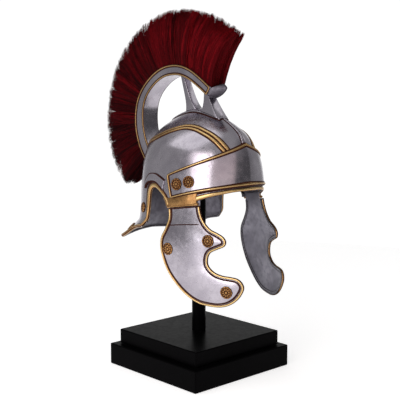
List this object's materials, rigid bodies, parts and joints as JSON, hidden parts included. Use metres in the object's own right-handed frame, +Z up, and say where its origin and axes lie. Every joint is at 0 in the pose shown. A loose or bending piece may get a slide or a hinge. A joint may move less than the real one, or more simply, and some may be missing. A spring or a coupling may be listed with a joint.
{
  "type": "legionary helmet on a square display stand",
  "caption": "Roman legionary's helmet with a fore-and-aft bristle plume, brow guard, neck guard and hinged cheek guards, on a black square stand.",
  "frame": {"origin": "middle of the stand's underside", "axes": "+Z up, the face looks along -Y, the wearer's right is -X"},
  "size_m": [0.24, 0.437, 0.6717],
  "materials": {
    "helmet_steel": "polished, lightly mottled",
    "edge_gold": "antiqued satin",
    "rosette_copper": "antiqued satin",
    "stand_black": "black lacquer",
    "plume_red": "matte bristle"
  },
  "bodies": {
    "helmet": {"base_lower": "stand_black", "base_upper": "stand_black", "post": "stand_black", "bowl": "helmet_steel", "face_trim": "edge_gold", "flange_trim": "edge_gold", "brow_plate": "helmet_steel", "brow_trim": "edge_gold", "keel_ridge": "helmet_steel", "crest_saddle": "helmet_steel", "front_strut": "helmet_steel", "mid_strut": "helmet_steel", "crest_box": "helmet_steel", "crest_prow": "helmet_steel", "plume_1": "plume_red", "plume_2": "plume_red", "plume_3": "plume_red", "plume_4": "plume_red", "plume_5": "plume_red", "plume_6": "plume_red", "ear_trim_right": "edge_gold", "ear_guard_right": "helmet_steel", "hinge_band_right": "edge_gold", "hinge_rod_right": "edge_gold", "hoop_upper_right": "edge_gold", "hoop_lower_right": "edge_gold", "crest_trim_outer_right": "edge_gold", "crest_trim_inner_right": "edge_gold", "brow_rosette_rear_right": "rosette_copper", "brow_rosette_front_right": "rosette_copper", "neck_rosette_wall_right": "rosette_copper", "neck_rosette_flange_right": "rosette_copper", "ear_trim_left": "edge_gold", "ear_guard_left": "helmet_steel", "hinge_band_left": "edge_gold", "hinge_rod_left": "edge_gold", "hoop_upper_left": "edge_gold", "hoop_lower_left": "edge_gold", "crest_trim_outer_left": "edge_gold", "crest_trim_inner_left": "edge_gold", "brow_rosette_rear_left": "rosette_copper", "brow_rosette_front_left": "rosette_copper", "neck_rosette_wall_left": "rosette_copper", "neck_rosette_flange_left": "rosette_copper"},
    "cheek_right": {"cheek_plate_right": "helmet_steel", "cheek_trim_right": "edge_gold", "cheek_rosette_rear_right": "rosette_copper", "cheek_rosette_front_right": "rosette_copper", "cheek_rosette_chin_right": "rosette_copper"},
    "cheek_left": {"cheek_plate_left": "helmet_steel", "cheek_trim_left": "edge_gold", "cheek_rosette_rear_left": "rosette_copper", "cheek_rosette_front_left": "rosette_copper", "cheek_rosette_chin_left": "rosette_copper"}
  },
  "joints": [
    {"name": "cheek_swing_right", "type": "hinge", "parent": "helmet", "child": "cheek_right", "pos_m": [-0.09829, -0.02409, 0.31506], "axis": [-0.2733, 0.9526, -0.1333], "range_deg": [0, 60]},
    {"name": "cheek_swing_left", "type": "hinge", "parent": "helmet", "child": "cheek_left", "pos_m": [0.09829, -0.02409, 0.31506], "axis": [-0.2733, -0.9526, 0.1333], "range_deg": [0, 60]}
  ]
}
